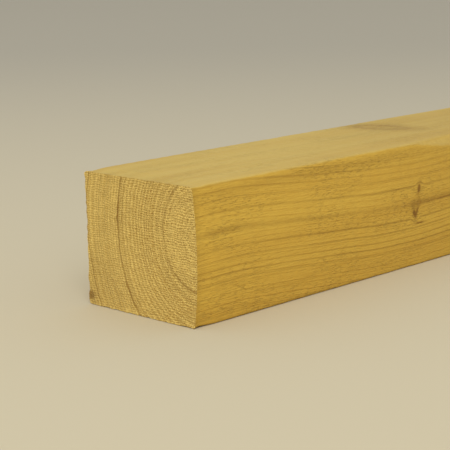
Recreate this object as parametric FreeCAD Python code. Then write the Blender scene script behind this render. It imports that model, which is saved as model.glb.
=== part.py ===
import FreeCAD, Part
import os

# A rough-sawn softwood batten: one length of solid timber, lying flat on its widest face.
# +X runs along the length, +Z up. The origin is the middle of the underside of its box.
# The front face (-Y) was sawn next to the heart of the tree and has dried to a crown;
# the back face (+Y) has dried slightly hollow. The two ends are plain square saw cuts.

# Driving dimensions, in millimetres
LENGTH = 1800.0
WIDTH = 51.0            # across the crowned front face and the corners of the back face
HEIGHT = 44.0
FRONT_CROWN = 1.6       # how far the middle of the front face stands out past its corners
BACK_HOLLOW = 0.4       # how far the middle of the back face lies behind its corners
ARRIS_RADIUS = 1.0      # the four long arrises are slightly worn
TEAR_START = 104.0      # from the near end (-X) to where the upper front arris is torn away
TEAR_LENGTH = 120.0
TEAR_DEPTH = 3.2        # deepest point, measured square to the arris at 45 degrees

near_end_x = -LENGTH / 2
back_y = WIDTH / 2
front_corner_y = -WIDTH / 2 + FRONT_CROWN


def section_face():
    """Section across the batten at its near end: flat top and bottom, curved front and back."""
    def at(y, z):
        return FreeCAD.Vector(near_end_x, y, z)

    bottom_front, bottom_back = at(front_corner_y, 0), at(back_y, 0)
    top_front, top_back = at(front_corner_y, HEIGHT), at(back_y, HEIGHT)
    front_middle = at(front_corner_y - FRONT_CROWN, HEIGHT / 2)
    back_middle = at(back_y - BACK_HOLLOW, HEIGHT / 2)
    edges = [
        Part.LineSegment(bottom_front, bottom_back),
        Part.Arc(bottom_back, back_middle, top_back),
        Part.LineSegment(top_back, top_front),
        Part.Arc(top_front, front_middle, bottom_front),
    ]
    return Part.Face(Part.Wire([edge.toShape() for edge in edges]))


def long_arris(solid, y, z):
    """The edge of full length that runs through this point of the section."""
    middle = FreeCAD.Vector(0, y, z)
    return [
        edge for edge in solid.Edges
        if abs(edge.Length - LENGTH) < 1e-6 and edge.CenterOfMass.distanceToPoint(middle) < 1e-6
    ]


def ease_arrises(solid):
    """Round the four long arrises."""
    for y in (front_corner_y, back_y):
        for z in (0, HEIGHT):
            solid = solid.makeFillet(ARRIS_RADIUS, long_arris(solid, y, z))
    return solid


def torn_strip():
    """What is missing along the upper front arris: a long shallow scoop, cut at 45 degrees."""
    outward = FreeCAD.Vector(0, -1, 1).normalize()
    across = FreeCAD.Vector(0, 1, 1).normalize()
    reach = HEIGHT / 2      # wide enough to clear the arris on both sides of it
    arris = FreeCAD.Vector(near_end_x + TEAR_START, front_corner_y, HEIGHT)
    side = arris - across * (reach / 2)

    def at(along, out):
        return side + FreeCAD.Vector(along, 0, 0) + outward * out

    scoop = Part.Arc(at(0, 0), at(TEAR_LENGTH / 2, -TEAR_DEPTH), at(TEAR_LENGTH, 0)).toShape()
    lid = Part.makePolygon([at(TEAR_LENGTH, 0), at(TEAR_LENGTH, reach), at(0, reach), at(0, 0)])
    return Part.Face(Part.Wire([scoop] + lid.Edges)).extrude(across * reach)


def make_batten():
    sawn = section_face().extrude(FreeCAD.Vector(LENGTH, 0, 0))
    return ease_arrises(sawn).cut(torn_strip())


os.makedirs("parts", exist_ok=True)
batten = make_batten().Solids[0]
batten.exportStep("parts/batten.step")
print("batten", batten.isValid(), batten.optimalBoundingBox(False), round(batten.Volume / 1e6, 4), "litres")
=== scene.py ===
import math

import bmesh
import bpy
import numpy as np
from bpy.props import FloatProperty, FloatVectorProperty, PointerProperty
from mathutils import Matrix, Vector, noise


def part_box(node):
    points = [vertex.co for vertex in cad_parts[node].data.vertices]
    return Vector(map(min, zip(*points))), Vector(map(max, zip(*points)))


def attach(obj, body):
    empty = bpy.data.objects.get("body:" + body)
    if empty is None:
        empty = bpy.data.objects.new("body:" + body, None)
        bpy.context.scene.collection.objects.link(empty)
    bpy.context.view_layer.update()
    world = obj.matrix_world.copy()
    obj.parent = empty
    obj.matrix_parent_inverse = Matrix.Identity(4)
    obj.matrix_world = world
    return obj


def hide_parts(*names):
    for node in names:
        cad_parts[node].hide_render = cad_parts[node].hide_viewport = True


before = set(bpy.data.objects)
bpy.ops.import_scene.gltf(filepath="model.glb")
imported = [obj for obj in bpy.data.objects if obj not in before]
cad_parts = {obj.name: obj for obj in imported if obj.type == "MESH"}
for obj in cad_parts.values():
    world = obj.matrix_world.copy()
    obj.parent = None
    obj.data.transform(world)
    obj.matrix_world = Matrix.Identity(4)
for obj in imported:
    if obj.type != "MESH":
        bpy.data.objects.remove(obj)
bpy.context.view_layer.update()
LOW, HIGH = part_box("batten")
MM = 0.001

bl_info = {
    "name": "Timber Batten",
    "version": (1, 0, 0),
    "blender": (4, 5, 0),
    "location": "View3D > Sidebar > Batten",
    "description": "Makes the looks of a rough-sawn softwood batten around its CAD solid",
    "category": "Add Mesh",
}


def srgb(code):
    """The linear colour of an sRGB hex value."""
    levels = [int(code[i:i + 2], 16) / 255 for i in (1, 3, 5)]
    return [v / 12.92 if v <= 0.04045 else ((v + 0.055) / 1.055) ** 2.4 for v in levels]


def length_property(name, description, millimetres):
    """A length that shows in the user's units; millimetres is its default."""
    return FloatProperty(
        name=name, description=description, default=millimetres * MM,
        unit="LENGTH", subtype="DISTANCE", precision=5,
    )


def colour_property(name, description, code):
    """A colour whose default is an sRGB hex value."""
    return FloatVectorProperty(
        name=name, description=description, default=srgb(code),
        subtype="COLOR", size=3, min=0, max=1,
    )


class TimberShape(bpy.types.PropertyGroup):
    """Sizes of the sawn timber and of what the saw left on it."""
    close_stretch: length_property("Close stretch", "Length at the near end with a close mesh", 150)
    close_step: length_property("Close step", "Mesh spacing along the close stretch", 1.5)
    plain_step: length_property("Plain step", "Mesh spacing along the rest", 6)
    cross_step: length_property("Cross step", "Mesh spacing across the faces", 0.8)
    crown: length_property("Crown", "How far the front face stands out at its middle", 1.6)
    hollow: length_property("Hollow", "How far the back face lies in at its middle", 0.4)
    arris_radius: length_property("Arris radius", "Wear of the long arrises", 1.0)
    worn_arris_radius: length_property("Worn arris radius", "Wear of the front arris by the end", 1.1)
    worn_stretch: length_property("Worn stretch", "How far that wear runs from the end", 65)
    tear_start: length_property("Tear start", "From the near end to the torn arris", 104)
    tear_length: length_property("Tear length", "Length of the torn arris", 120)
    tear_depth: length_property("Tear depth", "Depth of the tear, square to the arris", 3.2)
    saw_mark_pitch: length_property("Saw mark pitch", "From one saw mark to the next", 5.5)
    saw_mark_depth: length_property("Saw mark depth", "Depth of the saw marks", 0.16)
    burr: length_property("Burr", "How far torn fibres stand out round the cut ends", 0.65)
    burr_pitch: length_property("Burr pitch", "From one tuft of torn fibres to the next", 2.0)


class TimberFinish(bpy.types.PropertyGroup):
    """Colours and ring spacing of the wood."""
    ring_pitch: length_property("Ring pitch", "Mean width of one annual ring", 1.35)
    side_wood: colour_property("Side wood", "Early wood on the sawn sides", "#CFA83D")
    top_wood: colour_property("Top wood", "Early wood on the pale top face", "#CAAD58")
    end_wood: colour_property("End wood", "Early wood on the cut ends", "#F2D274")
    late_wood: colour_property("Late wood", "The dense late part of each ring", "#B58420")
    dark_line: colour_property("Dark line", "Darkest late wood and torn fibres", "#7A5300")
    end_pores: colour_property("End pores", "Torn pores in the end grain", "#9A6C0C")
    # The knot colour also darkens the painted shade under the front arris and farther along the front
    # face.
    knots_and_painted_shade: colour_property("Knot wood", "Resinous wood of the knots", "#7C5200")


class StageLayout(bpy.types.PropertyGroup):
    """Camera, lamp and floor."""
    azimuth: FloatProperty(
        name="Azimuth", description="Direction of view; 0 looks along +Y",
        default=math.radians(-45.68), unit="ROTATION", subtype="ANGLE")
    elevation: FloatProperty(
        name="Elevation", description="Height of the camera above the horizon",
        default=math.radians(11.61), unit="ROTATION", subtype="ANGLE")
    roll: FloatProperty(
        name="Roll", description="Lean of the camera about its line of sight",
        default=math.radians(-1.16), unit="ROTATION", subtype="ANGLE")
    distance: length_property("Distance", "From the camera to the point it looks at", 444.7)
    aim_along: length_property("Aim along", "Point looked at, from the near end", 13.9)
    aim_height: length_property("Aim height", "Point looked at, above the floor", 30.2)
    lens: FloatProperty(
        name="Lens", description="Focal length", default=116.6, unit="CAMERA", subtype="NONE")
    # The floor's near and far colours are painted light: pale where the lamp lights it, greyer behind
    # where the light falls off.
    floor_lit_near: colour_property("Near floor", "Floor round the near end", "#CFC3A3")
    floor_shaded_far: colour_property("Far floor", "Floor behind the batten", "#A9A28F")
    backdrop: colour_property("Backdrop", "What shows past the far floor", "#A09986")
    key_power: FloatProperty(
        name="Key power", description="Power of the large soft lamp", default=205, unit="POWER")
    sky_strength: FloatProperty(
        name="Sky strength", description="Even light from all round", default=0.68, min=0)


# ---------------------------------------------------------------- node trees

def add(tree, kind, inputs=None, **settings):
    """Add one node with its settings; an input is a value, a node (its first output) or a socket."""
    made = tree.nodes.new(kind)
    for name, value in settings.items():
        setattr(made, name, value)
    shown = [socket for socket in made.inputs if socket.enabled]
    for key, value in (inputs or {}).items():
        if isinstance(key, int):
            socket = shown[key]
        else:
            socket = next(s for s in shown if s.name == key)
        if isinstance(value, bpy.types.Node):
            value = next(s for s in value.outputs if s.enabled)
        if isinstance(value, bpy.types.NodeSocket):
            tree.links.new(value, socket)
        else:
            socket.default_value = value
    return made


def set_ramp(ramp, stops):
    """Give a ramp its stops: a list of (position, grey level)."""
    while len(ramp.elements) < len(stops):
        ramp.elements.new(1)
    for element, (position, level) in zip(ramp.elements, stops):
        element.position = position
        element.color = (level, level, level, 1)


def new_material(name):
    """An empty node material with this name."""
    material = bpy.data.materials.new(name)
    material.use_nodes = True
    material.node_tree.nodes.clear()
    return material


# ---------------------------------------------------------------- the growth of the wood

# All in millimetres, from the near end, the middle of the width and the underside.
PITH_HEIGHT_AT_END = 28.6
PITH_HEIGHT_AT_KNOTS = 24.0
PITH_SIDE = -25.0           # the heart of the tree runs along the front face
KNOT_STATION = 109.0
RING_SQUASH = 0.85          # the rings stand a little taller than they are wide
RING_REACH = 62.0           # the corner farthest from the pith

# Years whose late wood is dark enough to stand out: radius from the pith, width, strength.
# The sawn sides and the cut ends darken at different years.
DARK_ON_SIDES = (
    (5.0, 0.5, 0.9), (8.0, 0.4, 0.6), (10.2, 0.4, 0.45), (12.0, 0.4, 0.8), (14.0, 0.5, 0.5),
    (22.2, 0.5, 0.4), (23.4, 0.5, 0.5), (35.2, 0.6, 0.8),
)
DARK_ON_ENDS = (
    (14.8, 0.7, 0.7), (17.6, 0.5, 0.4), (33.9, 0.5, 0.5), (35.8, 1.1, 1.0), (41.8, 0.5, 0.5),
    (44.6, 0.4, 0.4), (50.6, 0.6, 0.6),
)

# Sizes of the grains of noise: along the length, across and up
BANDS = (160, 7, 7)
DARK_STRETCHES = (45, 14, 9)
HAIRY_PATCHES = (30, 9, 9)
HAIRS = (2.4, 0.3, 0.3)
FIBRES = (5.0, 0.45, 0.45)
SPECKS = (0.4, 0.4, 0.4)
ROW_WANDER = (7, 7, 7)
SAW_ROW_PITCH = 0.75        # rows of saw marks on the cut ends
FINE_RELIEF = 0.3           # height of the finest relief, as bump

# Knots, stains, a bark pocket and patches of painted shade as ellipsoids: centre, half sizes,
# turn about X, Y and Z in degrees, darkness of heart and rim, and how far the rings bend round it
FLAWS_AND_PAINTED_SHADE = {
    "upper spike knot": (
        (110.3, -25.0, 27.8), (0.9, 8.0, 2.2), (0, 18, 0), 0.85, 0.4, 0.9),
    "lower spike knot, near side": (
        (107.8, -25.0, 19.4), (0.9, 8.0, 1.9), (0, -24, 0), 0.95, 0.5, 1.0),
    "lower spike knot, far side": (
        (109.2, -25.0, 19.8), (0.6, 8.0, 2.0), (0, 22, 0), 0.8, 0.4, 1.0),
    "dark line beside the knots": (
        (137.0, -25.0, 23.0), (25.0, 4.0, 0.45), (0, -1.0, 0), 0.7, 0.4, 0.0),
    "torn stroke under the knots": (
        (110.6, -25.0, 15.7), (2.6, 4.0, 0.35), (0, 3, 0), 0.8, 0.5, 0.0),
    # painted shade: the front face darker farther from the near end, where the lamp's light falls off
    "painted shade farther along the front face": (
        (165.0, -25.0, 20.0), (70.0, 6.0, 34.0), (0, 0, 0), 0.13, 0.1, 0.0),
    # painted shade: a dark band on the front face just under the upper arris, where the arris shades it
    "painted shade under the front arris": (
        (62.0, -25.0, 40.8), (85.0, 3.0, 1.7), (0, 0, 0), 0.2, 0.15, 0.0),
    "stain round the top face knot": (
        (150.0, 3.0, 44.0), (55.0, 24.0, 5.0), (0, 0, 4), 0.14, 0.1, 0.0),
    "top face knot": (
        (134.5, 11.0, 43.0), (5.6, 11.5, 7.0), (0, 0, 18), 0.22, 0.42, 3.0),
    "stain round the bark pocket": (
        (0.0, 22.0, 7.5), (7.0, 9.0, 9.0), (0, 0, 0), 0.14, 0.1, 0.0),
    "bark pocket": (
        (0.0, 24.4, 3.2), (9.0, 2.3, 1.7), (0, 0, 0), 0.7, 0.4, 0.0),
}


def ring_distance(tree, place):
    """Distance from the wandering pith, in millimetres."""
    along = add(tree, "ShaderNodeSeparateXYZ", {0: place})
    drift = add(tree, "ShaderNodeMapRange", {
        "Value": along.outputs["X"], "From Min": 0, "From Max": KNOT_STATION,
        "To Min": PITH_HEIGHT_AT_END, "To Max": PITH_HEIGHT_AT_KNOTS,
    }, interpolation_type="SMOOTHSTEP")
    slow = add(tree, "ShaderNodeTexNoise", {
        "W": add(tree, "ShaderNodeMath", {0: along.outputs["X"], 1: 1 / 90}, operation="MULTIPLY"),
        "Scale": 1, "Detail": 2,
    }, noise_dimensions="1D")
    wander = add(tree, "ShaderNodeVectorMath", {
        0: slow.outputs["Color"], 1: (0.5, 0.5, 0.5)}, operation="SUBTRACT")
    wander = add(tree, "ShaderNodeVectorMath", {0: wander, 1: (0, 4.0, 3.5)}, operation="MULTIPLY")
    pith = add(tree, "ShaderNodeCombineXYZ", {
        "X": along.outputs["X"], "Y": PITH_SIDE, "Z": drift})
    pith = add(tree, "ShaderNodeVectorMath", {0: pith, 1: wander}, operation="ADD")
    out = add(tree, "ShaderNodeVectorMath", {0: place, 1: pith}, operation="SUBTRACT")
    out = add(tree, "ShaderNodeVectorMath", {0: out, 1: (1, 1, RING_SQUASH)}, operation="MULTIPLY")
    distance = add(tree, "ShaderNodeVectorMath", {0: out}, operation="LENGTH")
    for scale, amount in (((0.004, 0.02, 0.02), 3.0), ((0.014, 0.13, 0.13), 1.0)):
        stretched = add(tree, "ShaderNodeMapping", {"Vector": place, "Scale": scale})
        wave = add(tree, "ShaderNodeTexNoise", {"Vector": stretched, "Scale": 1, "Detail": 1})
        distance = add(tree, "ShaderNodeMath", {
            0: add(tree, "ShaderNodeMath", {0: wave, 1: 0.5}, operation="SUBTRACT"),
            1: amount, 2: distance}, operation="MULTIPLY_ADD")
    return distance


def ellipsoid_field(tree, place, centre, half_sizes, turn):
    """0 at the heart of an ellipsoid (a knot, a pocket, a stain or a patch of painted shade), 1 at its
    edge, more outside it.
    """
    back = add(tree, "ShaderNodeMapping", {
        "Vector": place, "Location": centre,
        "Rotation": [math.radians(a) for a in turn], "Scale": half_sizes,
    }, vector_type="TEXTURE")
    field = add(tree, "ShaderNodeVectorMath", {0: back}, operation="LENGTH")
    ragged = add(tree, "ShaderNodeTexNoise", {"Vector": place, "Scale": 0.7, "Detail": 2})
    ragged = add(tree, "ShaderNodeMath", {0: ragged, 1: 0.5}, operation="SUBTRACT")
    return add(tree, "ShaderNodeMath", {0: ragged, 1: 0.9, 2: field}, operation="MULTIPLY_ADD")


def stretched_noise(tree, place, millimetres, detail=2, roughness=0.5):
    """Noise whose grains measure the given millimetres along, across and up."""
    scaled = add(tree, "ShaderNodeMapping", {
        "Vector": place, "Scale": [1 / size for size in millimetres]})
    return add(tree, "ShaderNodeTexNoise", {
        "Vector": scaled, "Scale": 1, "Detail": detail, "Roughness": roughness})


def swell(tree, value, pitch):
    """A smooth wave from 0 to 1 and back in each pitch of value."""
    turn = add(tree, "ShaderNodeMath", {0: value, 1: 2 * math.pi / pitch}, operation="MULTIPLY")
    wave = add(tree, "ShaderNodeMath", {0: turn}, operation="COSINE")
    return add(tree, "ShaderNodeMath", {0: wave, 1: -0.5, 2: 0.5}, operation="MULTIPLY_ADD")


def annual_rings(tree, distance, pitch):
    """A wave for every year, and its late wood, both from the distance to the pith."""
    uneven = add(tree, "ShaderNodeTexNoise", {
        "W": add(tree, "ShaderNodeMath", {0: distance, 1: 1 / 6}, operation="MULTIPLY"),
        "Scale": 1, "Detail": 1}, noise_dimensions="1D")
    years = add(tree, "ShaderNodeMath", {0: uneven, 1: 3.0, 2: distance}, operation="MULTIPLY_ADD")
    ring_wave = swell(tree, years, pitch)
    years = add(tree, "ShaderNodeMath", {0: years, 1: pitch}, operation="DIVIDE")
    season = add(tree, "ShaderNodeMath", {0: years}, operation="FRACT")
    late = add(tree, "ShaderNodeValToRGB", {0: season})
    set_ramp(late.color_ramp, [(0, 0.0), (0.62, 0.05), (0.86, 1.0), (0.92, 0.9), (1.0, 0.0)])
    year_strength = add(tree, "ShaderNodeTexWhiteNoise", {
        "W": add(tree, "ShaderNodeMath", {0: years}, operation="FLOOR")}, noise_dimensions="1D")
    year_strength = add(tree, "ShaderNodeMapRange", {
        "Value": year_strength, "To Min": 0.15, "To Max": 1.0})
    rings = add(tree, "ShaderNodeMath", {0: late, 1: year_strength}, operation="MULTIPLY")
    return ring_wave, rings


def dark_years(tree, place, distance, end_on):
    """The pith and the few years that stand out, stronger in some stretches than in others."""
    reach = add(tree, "ShaderNodeMath", {0: distance, 1: RING_REACH}, operation="DIVIDE")
    lines = []
    for years_seen in (DARK_ON_SIDES, DARK_ON_ENDS):
        stops = [(0, 0.8), (1.3 / RING_REACH, 0.0)]
        for radius, width, strength in years_seen:
            stops += [
                ((radius - width) / RING_REACH, 0.0), (radius / RING_REACH, strength),
                ((radius + width / 2) / RING_REACH, 0.0)]
        lines.append(add(tree, "ShaderNodeValToRGB", {0: reach}))
        set_ramp(lines[-1].color_ramp, stops)
    dark = add(tree, "ShaderNodeMix", {
        "Factor": end_on, "A": lines[0], "B": lines[1]}, data_type="RGBA")
    patchy = stretched_noise(tree, place, DARK_STRETCHES, 1)
    patchy = add(tree, "ShaderNodeMapRange", {
        "Value": patchy, "From Min": 0.38, "From Max": 0.6, "To Min": 0.5, "To Max": 1.0})
    return add(tree, "ShaderNodeMath", {0: dark, 1: patchy}, operation="MULTIPLY")


def torn_hairs(tree, place):
    """Short dark hairs lifted by the saw, thicker in some patches than in others."""
    hairs = stretched_noise(tree, place, HAIRS, 1)
    hairs = add(tree, "ShaderNodeMapRange", {
        "Value": hairs, "From Min": 0.56, "From Max": 0.7, "To Min": 0, "To Max": 1})
    hairy = stretched_noise(tree, place, HAIRY_PATCHES, 1)
    hairy = add(tree, "ShaderNodeMapRange", {
        "Value": hairy, "From Min": 0.4, "From Max": 0.62, "To Min": 0.15, "To Max": 1})
    return add(tree, "ShaderNodeMath", {0: hairs, 1: hairy}, operation="MULTIPLY")


def cut_end_pores(tree, place, distance, ring_wave, height_up, end_on):
    """The weave of a cut end: rings crossed by rows of saw marks, with torn pores.

    Real wood cells are about 0.03 mm wide. The specks here are drawn coarser, so that they show.
    """
    speckle = stretched_noise(tree, place, SPECKS, 2, 0.6)
    wobble = stretched_noise(tree, place, ROW_WANDER, 1)
    rows = swell(tree, add(tree, "ShaderNodeMath", {
        0: wobble, 1: 2.0, 2: height_up}, operation="MULTIPLY_ADD"), SAW_ROW_PITCH)
    ring_share = add(tree, "ShaderNodeMapRange", {
        "Value": distance, "From Min": 12, "From Max": 24, "To Min": 0.08, "To Max": 0.22})
    weave = add(tree, "ShaderNodeMath", {0: ring_wave, 1: ring_share}, operation="MULTIPLY")
    weave = add(tree, "ShaderNodeMath", {0: rows, 1: 0.2, 2: weave}, operation="MULTIPLY_ADD")
    weave = add(tree, "ShaderNodeMath", {0: speckle, 1: 1.1, 2: weave}, operation="MULTIPLY_ADD")
    pores = add(tree, "ShaderNodeMapRange", {"Value": weave, "From Min": 0.56, "From Max": 1.0})
    return add(tree, "ShaderNodeMath", {0: pores, 1: end_on}, operation="MULTIPLY")


def rough_sawn_softwood():
    """Rough-sawn, pressure-treated pine: matt yellow wood with a torn, fibrous surface.

    The saw tears the soft early wood and leaves the hard late wood, so each ring shows as a
    darker, slightly proud line, and the cut ends are a weave of open pores and saw marks.
    """
    finish = bpy.context.scene.timber_finish
    material = new_material("rough_sawn_treated_pine")
    tree = material.node_tree
    where = add(tree, "ShaderNodeTexCoord").outputs["Object"]
    place = add(tree, "ShaderNodeMapping", {
        "Vector": where, "Location": (-LOW.x / MM, 0, 0), "Scale": (1 / MM,) * 3})
    facing = add(tree, "ShaderNodeSeparateXYZ", {
        0: add(tree, "ShaderNodeNewGeometry").outputs["Normal"]})
    end_on = add(tree, "ShaderNodeMapRange", {
        "Value": add(tree, "ShaderNodeMath", {0: facing.outputs["X"]}, operation="ABSOLUTE"),
        "From Min": 0.55, "From Max": 0.8})
    top_on = add(tree, "ShaderNodeMapRange", {
        "Value": facing.outputs["Z"], "From Min": 0.45, "From Max": 0.75})

    # annual rings, pushed outward round the knots
    distance = ring_distance(tree, place)
    flaws_and_painted_shade = []
    for centre, half_sizes, turn, heart, rim, bend in FLAWS_AND_PAINTED_SHADE.values():
        field = ellipsoid_field(tree, place, centre, half_sizes, turn)
        flaws_and_painted_shade.append((field, heart, rim))
        push = add(tree, "ShaderNodeMapRange", {
            "Value": field, "From Min": 0.6, "From Max": 3.6, "To Min": bend, "To Max": 0,
        }, interpolation_type="SMOOTHSTEP")
        distance = add(tree, "ShaderNodeMath", {0: distance, 1: push}, operation="SUBTRACT")
    ring_wave, rings = annual_rings(tree, distance, finish.ring_pitch / MM)

    # the young wood near the pith is plainer, most of all above it
    height_up = add(tree, "ShaderNodeSeparateXYZ", {0: place}).outputs["Z"]
    young = add(tree, "ShaderNodeMapRange", {
        "Value": height_up, "From Min": 16, "From Max": 26, "To Min": 0.95, "To Max": 0.6})
    older = add(tree, "ShaderNodeMapRange", {
        "Value": distance, "From Min": 15, "From Max": 20, "To Min": 0, "To Max": 1})
    mature = add(tree, "ShaderNodeMath", {0: young, 1: older}, operation="MAXIMUM")
    rings = add(tree, "ShaderNodeMath", {0: rings, 1: mature}, operation="MULTIPLY")

    dark = dark_years(tree, place, distance, end_on)
    fibres = stretched_noise(tree, place, FIBRES, 3, 0.6)
    hairs = torn_hairs(tree, place)
    pores = cut_end_pores(tree, place, distance, ring_wave, height_up, end_on)

    # plain colours of the faces, with wide darker bands along the length
    colour = add(tree, "ShaderNodeMix", {
        "Factor": top_on, "A": (*finish.side_wood, 1), "B": (*finish.top_wood, 1)}, data_type="RGBA")
    bands = stretched_noise(tree, place, BANDS, 1)
    bands = add(tree, "ShaderNodeMapRange", {
        "Value": bands, "From Min": 0.4, "From Max": 0.65, "To Min": 0, "To Max": 0.22})
    colour = add(tree, "ShaderNodeMix", {
        "Factor": bands, "A": colour, "B": (*finish.late_wood, 1)}, data_type="RGBA")
    colour = add(tree, "ShaderNodeMix", {
        "Factor": end_on, "A": colour, "B": (*finish.end_wood, 1)}, data_type="RGBA")

    # rings, fibres and hairs over them, weaker on the top face
    torn = add(tree, "ShaderNodeMapRange", {"Value": fibres, "From Min": 0.42, "From Max": 0.7})
    dark_share = add(tree, "ShaderNodeMapRange", {"Value": end_on, "To Min": 0.75, "To Max": 1.0})
    on_top_less = add(tree, "ShaderNodeMath", {0: top_on, 1: -0.7, 2: 1.0}, operation="MULTIPLY_ADD")
    for mask, strength, shade in (
            (rings, 0.4, finish.late_wood), (dark, dark_share, finish.dark_line),
            (torn, 0.25, finish.late_wood), (hairs, 0.2, finish.dark_line)):
        amount = add(tree, "ShaderNodeMath", {0: mask, 1: strength}, operation="MULTIPLY")
        amount = add(tree, "ShaderNodeMath", {0: amount, 1: on_top_less}, operation="MULTIPLY")
        colour = add(tree, "ShaderNodeMix", {
            "Factor": amount, "A": colour, "B": (*shade, 1)}, data_type="RGBA")
    coarse = add(tree, "ShaderNodeMapRange", {
        "Value": distance, "From Min": 12, "From Max": 38, "To Min": 1.0, "To Max": 0.62})
    amount = add(tree, "ShaderNodeMath", {0: pores, 1: coarse}, operation="MULTIPLY")
    colour = add(tree, "ShaderNodeMix", {
        "Factor": amount, "A": colour, "B": (*finish.end_pores, 1)}, data_type="RGBA")

    # knots, stains, the bark pocket and the painted shade: a heart, a rim and a faint halo, all in the
    # knot colour
    for field, heart, rim in flaws_and_painted_shade:
        inside = add(tree, "ShaderNodeValToRGB", {
            0: add(tree, "ShaderNodeMath", {0: field, 1: 0.5}, operation="MULTIPLY")})
        set_ramp(inside.color_ramp, [
            (0, heart), (0.25, heart), (0.42, rim), (0.6, 0.45 * rim), (0.95, 0.12 * rim), (1.0, 0)])
        colour = add(tree, "ShaderNodeMix", {
            "Factor": inside, "A": colour, "B": (*finish.knots_and_painted_shade, 1)}, data_type="RGBA")

    # late wood and fibres stand proud, hairs and pores lie deeper
    height = add(tree, "ShaderNodeMath", {0: rings, 1: 0.5, 2: fibres}, operation="MULTIPLY_ADD")
    height = add(tree, "ShaderNodeMath", {0: hairs, 1: -0.6, 2: height}, operation="MULTIPLY_ADD")
    height = add(tree, "ShaderNodeMath", {0: pores, 1: -1.2, 2: height}, operation="MULTIPLY_ADD")
    bump = add(tree, "ShaderNodeBump", {"Height": height, "Distance": FINE_RELIEF * MM, "Strength": 0.8})
    shader = add(tree, "ShaderNodeBsdfPrincipled", {
        "Base Color": colour, "Roughness": 0.85, "Normal": bump})
    add(tree, "ShaderNodeOutputMaterial", {"Surface": shader})
    return material


# ---------------------------------------------------------------- the timber itself

def parallel_edges(bm, axis):
    """The edges that run along an axis, grouped by their length."""
    groups = {}
    for edge in bm.edges:
        run = edge.verts[1].co - edge.verts[0].co
        if abs(run[axis]) > 0.999 * run.length:
            groups.setdefault(round(run.length, 6), []).append(edge)
    return groups


def sawn_block(shape):
    """A plain block the size of the batten, divided closely enough to take its relief."""
    bm = bmesh.new()
    bmesh.ops.create_cube(bm, size=1)
    bmesh.ops.scale(bm, vec=HIGH - LOW, verts=bm.verts)
    bmesh.ops.translate(bm, vec=(HIGH + LOW) / 2, verts=bm.verts)
    bmesh.ops.bisect_plane(
        bm, geom=bm.verts[:] + bm.edges[:] + bm.faces[:],
        plane_co=(LOW.x + shape.close_stretch, 0, 0), plane_no=(1, 0, 0))
    steps = {0: shape.plain_step, 1: shape.cross_step, 2: shape.cross_step}
    for axis in (1, 2, 0):
        for length, edges in parallel_edges(bm, axis).items():
            step = steps[axis]
            if axis == 0 and abs(length - shape.close_stretch) < 1e-5:
                step = shape.close_step
            bmesh.ops.subdivide_edges(bm, edges=edges, cuts=round(length / step) - 1, use_grid_fill=True)
    return bm


def fractal(points, scale, seed, detail=2):
    """Smooth noise from about -1 to 1 at each point; scale is per millimetre on each axis."""
    offset = Vector((seed * 17.3, seed * 5.1, seed * 9.7))
    return np.array([
        noise.fractal(Vector(p) + offset, 0.9, 2.0, detail) for p in points * np.array(scale)])


def shape_section(points, shape):
    """Turn the plain block into the dried section: crowned front, hollow back, worn arrises."""
    u, y, z = points.T
    width, height = (HIGH - LOW).y / MM, (HIGH - LOW).z / MM
    across = (y - LOW.y / MM) / width
    up = 2 * (z - LOW.z / MM) / height - 1
    front = LOW.y / MM + shape.crown / MM * up ** 2
    back = HIGH.y / MM - shape.hollow / MM * (1 - up ** 2)
    y = front + (back - front) * across

    # each arris: pull the square corner onto a quarter circle
    fade = np.clip(1 - u * MM / shape.worn_stretch, 0, 1)
    worn = (shape.arris_radius + (shape.worn_arris_radius - shape.arris_radius) * fade) / MM
    ragged = 0.25 * fractal(np.column_stack([u, y * 0, z * 0]), (0.15, 1, 1), 3)
    for is_front in (True, False):
        for is_top in (True, False):
            radius = (worn if is_front and is_top else shape.arris_radius / MM) + ragged
            wall = front if is_front else back
            from_wall = (y - wall) if is_front else (wall - y)
            from_flat = (HIGH.z / MM - z) if is_top else (z - LOW.z / MM)
            a, b = radius - from_wall, radius - from_flat
            corner = (a > 0) & (b > 0)
            pull = np.where(corner, np.maximum(a, b) / np.maximum(np.hypot(a, b), 1e-9), 1)
            y = np.where(corner, y + (a - a * pull) * (1 if is_front else -1), y)
            z = np.where(corner, z + (b - b * pull) * (-1 if is_top else 1), z)

    # the torn strip along the upper front arris
    t = np.clip((u * MM - shape.tear_start) / shape.tear_length, 0, 1)
    depth = 4 * shape.tear_depth / MM * t * (1 - t)
    corner_out = (-(LOW.y / MM + shape.crown / MM) + HIGH.z / MM) / math.sqrt(2)
    out = (z - y) / math.sqrt(2) - (corner_out - depth)
    cut = np.where((t > 0) & (t < 1), np.maximum(out, 0), 0)
    y, z = y + cut / math.sqrt(2), z - cut / math.sqrt(2)
    return np.column_stack([u, y, z])


# Torn fibres round the cut ends, in millimetres from the end
BURR_RISE = 9.0             # where the faces begin to draw in towards the end
BURR_RIM = 2.2              # where the tufts stand out again


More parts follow.
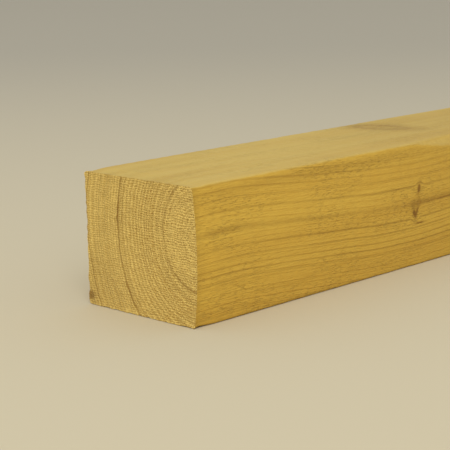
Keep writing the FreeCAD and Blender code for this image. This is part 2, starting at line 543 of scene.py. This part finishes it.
def relief(points, normals, shape):
    """How far each point lies inside the true section, in millimetres: saw marks and burrs."""
    u, y, z = points.T
    length = (HIGH - LOW).x / MM
    on_end = np.abs(normals[:, 0]) > 0.6
    on_top = normals[:, 2] > 0.6
    on_floor = normals[:, 2] < -0.6
    depth = shape.saw_mark_depth / MM
    slant = np.where(np.abs(normals[:, 2]) > 0.6, y, z)
    marks = np.sin(2 * math.pi * (u + 0.12 * slant) / (shape.saw_mark_pitch / MM))
    rough = fractal(points, (0.06, 0.5, 0.5), 1)
    sides = depth * (1 + 0.45 * marks + 0.8 * rough)
    amount = np.where(on_top, 0.4 * sides, np.where(on_floor, 0.3 * sides, sides))

    # torn fibres stand out round both cut ends, in tufts
    burr = shape.burr / MM
    from_end = np.minimum(u, length - u)
    around = y + z
    tufts = 0.5 + 0.5 * np.sin(2 * math.pi * around / (shape.burr_pitch / MM))
    tufts = np.clip(tufts + 0.7 * fractal(points, (0.2, 0.9, 0.9), 2), 0, 1)
    near_rim = np.clip(1 - from_end / BURR_RIM, 0, 1)
    amount = amount + burr * np.clip(1 - from_end / BURR_RISE, 0, 1) - burr * near_rim * tufts
    pits = 0.45 * burr * (1 + fractal(points, (0, 0.55, 0.55), 4, 3))
    return np.clip(np.where(on_end, pits, amount), 0, None)


def timber(shape):
    """The whole length of sawn timber as one mesh."""
    bm = sawn_block(shape)
    mesh = bpy.data.meshes.new("batten_timber")
    bm.to_mesh(mesh)
    bm.free()
    points = np.empty(len(mesh.vertices) * 3)
    mesh.vertices.foreach_get("co", points)
    points = points.reshape(-1, 3) / MM
    points[:, 0] -= LOW.x / MM
    points = shape_section(points, shape)
    to_mesh = points + np.array([LOW.x / MM, 0, 0])
    mesh.vertices.foreach_set("co", (to_mesh * MM).ravel())
    mesh.update()
    normals = np.empty(len(mesh.vertices) * 3)
    mesh.vertices.foreach_get("normal", normals)
    normals = normals.reshape(-1, 3)
    sunk = to_mesh - normals * relief(points, normals, shape)[:, None]
    low, high = np.array(LOW) / MM, np.array(HIGH) / MM
    mesh.vertices.foreach_set("co", (np.clip(sunk, low, high) * MM).ravel())
    mesh.update()
    mesh.polygons.foreach_set("use_smooth", [True] * len(mesh.polygons))
    mesh.set_sharp_from_angle(angle=math.radians(50))
    piece = bpy.data.objects.new("batten_timber", mesh)
    bpy.context.collection.objects.link(piece)
    return piece


class BATTEN_OT_timber(bpy.types.Operator):
    """Make the sawn timber with its finish, in place of the plain CAD solid"""
    bl_idname = "batten.timber"
    bl_label = "Make Timber"

    def execute(self, context):
        """Make the piece and put it in the solid's place."""
        piece = timber(context.scene.timber_shape)
        piece.data.materials.append(rough_sawn_softwood())
        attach(piece, "root")
        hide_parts("batten")
        return {"FINISHED"}


# ---------------------------------------------------------------- stage

# Metres, but the sensor in millimetres
FLOOR_RADIUS = 40
KEY_SIZE = 4.2
KEY_OFFSET = Vector((-3.4, -2.9, 3.6))      # from the near end to the lamp
PAINTED_LIGHT_FALLOFF_START = -0.3                           # where the floor's painted light begins to fall off, beyond the near end
PAINTED_LIGHT_FALLOFF_END = 1.1
SENSOR_WIDTH = 36


def floor_material(layout):
    """Matt paper of one colour with painted light on it: pale round the near end and fading to grey
    along the camera's heading.
    """
    material = new_material("matt_paper_with_painted_light")
    tree = material.node_tree
    where = add(tree, "ShaderNodeTexCoord").outputs["Object"]
    away = Vector((-math.sin(layout.azimuth), math.cos(layout.azimuth), 0))
    along = add(tree, "ShaderNodeVectorMath", {0: where, 1: away}, operation="DOT_PRODUCT")
    nearest = LOW.x * away.x
    # painted light: the floor's colour falls off from the lit near colour to the shaded far one
    fade = add(tree, "ShaderNodeMapRange", {
        "Value": along, "From Min": nearest + PAINTED_LIGHT_FALLOFF_START, "From Max": nearest + PAINTED_LIGHT_FALLOFF_END,
    }, interpolation_type="SMOOTHSTEP")
    colour = add(tree, "ShaderNodeMix", {
        "Factor": fade, "A": (*layout.floor_lit_near, 1), "B": (*layout.floor_shaded_far, 1)}, data_type="RGBA")
    shader = add(tree, "ShaderNodeBsdfPrincipled", {"Base Color": colour, "Roughness": 0.9})
    add(tree, "ShaderNodeOutputMaterial", {"Surface": shader})
    return material


def lay_floor(layout):
    """A round floor, so wide that its rim lies far off."""
    bm = bmesh.new()
    bmesh.ops.create_circle(bm, cap_ends=True, segments=64, radius=FLOOR_RADIUS)
    mesh = bpy.data.meshes.new("studio_floor")
    bm.to_mesh(mesh)
    bm.free()
    floor = bpy.data.objects.new("studio_floor", mesh)
    floor.data.materials.append(floor_material(layout))
    bpy.context.collection.objects.link(floor)


def light_stage(layout):
    """Even light from all round, and one large soft lamp on the near end's side."""
    world = bpy.data.worlds.new("studio_sky")
    bpy.context.scene.world = world
    world.use_nodes = True
    tree = world.node_tree
    tree.nodes.clear()
    sky = add(tree, "ShaderNodeBackground", {"Color": (1, 1, 1, 1), "Strength": layout.sky_strength})
    seen = add(tree, "ShaderNodeBackground", {"Color": (*layout.backdrop, 1), "Strength": 1})
    path = add(tree, "ShaderNodeLightPath")
    either = add(tree, "ShaderNodeMixShader", {0: path.outputs["Is Camera Ray"], 1: sky, 2: seen})
    add(tree, "ShaderNodeOutputWorld", {"Surface": either})

    near_end = Vector((LOW.x, 0, HIGH.z / 2))
    lamp = bpy.data.lights.new("key_softbox", "AREA")
    lamp.shape = "SQUARE"
    lamp.size = KEY_SIZE
    lamp.energy = layout.key_power
    key = bpy.data.objects.new("key_softbox", lamp)
    key.location = near_end + KEY_OFFSET
    key.rotation_euler = (near_end - key.location).to_track_quat("-Z", "Y").to_euler()
    key.visible_camera = False
    bpy.context.collection.objects.link(key)


def place_camera(layout):
    """A camera that looks at the near end of the front face from the front left."""
    camera = bpy.data.objects.new("camera", bpy.data.cameras.new("camera"))
    camera.data.lens = layout.lens
    camera.data.sensor_width = SENSOR_WIDTH
    camera.data.clip_start = 0.01
    camera.data.clip_end = 200
    crown = bpy.context.scene.timber_shape.crown
    aim = Vector((LOW.x + layout.aim_along, LOW.y + crown, layout.aim_height))
    flat = math.cos(layout.elevation)
    back = Vector((
        math.sin(layout.azimuth) * flat, -math.cos(layout.azimuth) * flat, math.sin(layout.elevation)))
    turn = (-back).to_track_quat("-Z", "Y").to_matrix().to_4x4()
    lean = Matrix.Rotation(layout.roll, 4, "Z")
    camera.matrix_world = Matrix.Translation(aim + back * layout.distance) @ turn @ lean
    bpy.context.collection.objects.link(camera)
    bpy.context.scene.camera = camera


class BATTEN_OT_stage(bpy.types.Operator):
    """Lay the floor, light the batten and place the camera"""
    bl_idname = "batten.stage"
    bl_label = "Set Stage"

    def execute(self, context):
        """Make the floor, the light and the camera."""
        layout = context.scene.stage_layout
        lay_floor(layout)
        light_stage(layout)
        place_camera(layout)
        context.scene.view_settings.view_transform = "Standard"
        return {"FINISHED"}


class BATTEN_PT_sidebar(bpy.types.Panel):
    """Lists what the batten is made with"""
    bl_label = "Timber Batten"
    bl_idname = "BATTEN_PT_sidebar"
    bl_space_type = "VIEW_3D"
    bl_region_type = "UI"
    bl_category = "Batten"

    def draw(self, context):
        """List every size and colour, then the operators."""
        scene = context.scene
        for group in (scene.timber_shape, scene.timber_finish, scene.stage_layout):
            box = self.layout.box()
            for name in group.__annotations__:
                box.prop(group, name)
        self.layout.operator("batten.timber")
        self.layout.operator("batten.stage")


CLASSES = (
    TimberShape, TimberFinish, StageLayout, BATTEN_OT_timber, BATTEN_OT_stage, BATTEN_PT_sidebar,
)


def register():
    """Register the classes and give the scene its settings."""
    for cls in CLASSES:
        bpy.utils.register_class(cls)
    bpy.types.Scene.timber_shape = PointerProperty(type=TimberShape)
    bpy.types.Scene.timber_finish = PointerProperty(type=TimberFinish)
    bpy.types.Scene.stage_layout = PointerProperty(type=StageLayout)


def unregister():
    """Take the settings and the classes away again."""
    del bpy.types.Scene.stage_layout
    del bpy.types.Scene.timber_finish
    del bpy.types.Scene.timber_shape
    for cls in reversed(CLASSES):
        bpy.utils.unregister_class(cls)


def main():
    """Make the batten and its stage."""
    register()
    bpy.ops.batten.timber()
    bpy.ops.batten.stage()


if __name__ == "__main__":
    main()
